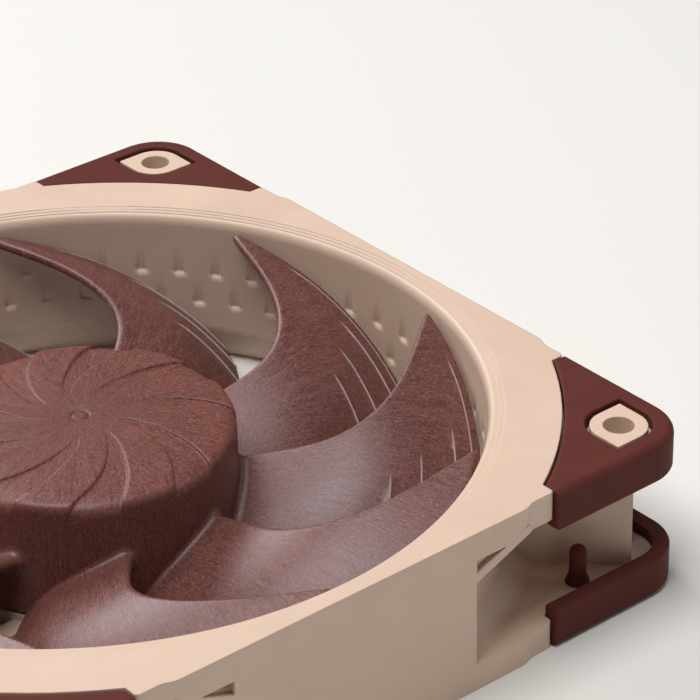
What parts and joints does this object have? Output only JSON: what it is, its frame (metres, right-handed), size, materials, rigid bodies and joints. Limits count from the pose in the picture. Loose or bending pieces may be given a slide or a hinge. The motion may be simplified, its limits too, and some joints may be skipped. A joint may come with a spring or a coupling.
{
  "type": "case fan",
  "caption": "Square axial cooling fan: moulded frame with rubber corner pads, swept impeller on an outer-rotor motor, bolted through its corners.",
  "frame": {"origin": "on the rotor axis at the exhaust face, bottom centre of the bounding box", "axes": "+Z along the rotor axis towards the intake face; X and Y along the sides of the square frame"},
  "size_m": [0.12, 0.12, 0.025],
  "materials": {
    "frame_plastic": "matte warm beige moulding",
    "pad_rubber": "matte dark red-brown rubber",
    "impeller_plastic": "satin fibre-filled brown plastic with fine directional grain",
    "yoke_steel": "plated deep-drawn steel",
    "magnet_ferrite": "dark bonded ferrite",
    "shaft_steel": "ground and polished",
    "brass": "turned brass",
    "bronze": "oil-filled sintered bronze",
    "lamination_steel": "stacked laminations",
    "bobbin_plastic": "natural moulded plastic",
    "copper_wire": "enamelled copper winding",
    "board": "solder mask",
    "chip_plastic": "moulded chip body",
    "solder": "solder",
    "washer_plastic": "low-friction washer",
    "label_film": "blank film disc"
  },
  "bodies": {
    "fan_frame": {"frame": "frame_plastic", "intake_pad_1": "pad_rubber", "exhaust_pad_1": "pad_rubber", "intake_pad_2": "pad_rubber", "exhaust_pad_2": "pad_rubber", "intake_pad_3": "pad_rubber", "exhaust_pad_3": "pad_rubber", "intake_pad_4": "pad_rubber", "exhaust_pad_4": "pad_rubber", "bearing_housing": "brass", "bearing_sleeve": "bronze", "dust_washer": "washer_plastic", "thrust_plate": "washer_plastic", "base_label": "label_film", "stator_core": "lamination_steel", "upper_bobbin": "bobbin_plastic", "lower_bobbin": "bobbin_plastic", "coil_1": "copper_wire", "coil_2": "copper_wire", "coil_3": "copper_wire", "coil_4": "copper_wire", "winding_pins": "solder", "circuit_board": "board", "driver_chip": "chip_plastic", "hall_sensor": "chip_plastic", "board_parts": "chip_plastic", "lead_pads": "solder"},
    "rotor": {"impeller": "impeller_plastic", "rotor_yoke": "yoke_steel", "ring_magnet": "magnet_ferrite", "shaft": "shaft_steel", "shaft_bushing": "brass", "retaining_clip": "shaft_steel"}
  },
  "joints": [
    {"name": "impeller_spin", "type": "hinge", "parent": "fan_frame", "child": "rotor", "pos_m": [0, 0, 0.0125], "axis": [0, 0, 1], "continuous": true}
  ]
}
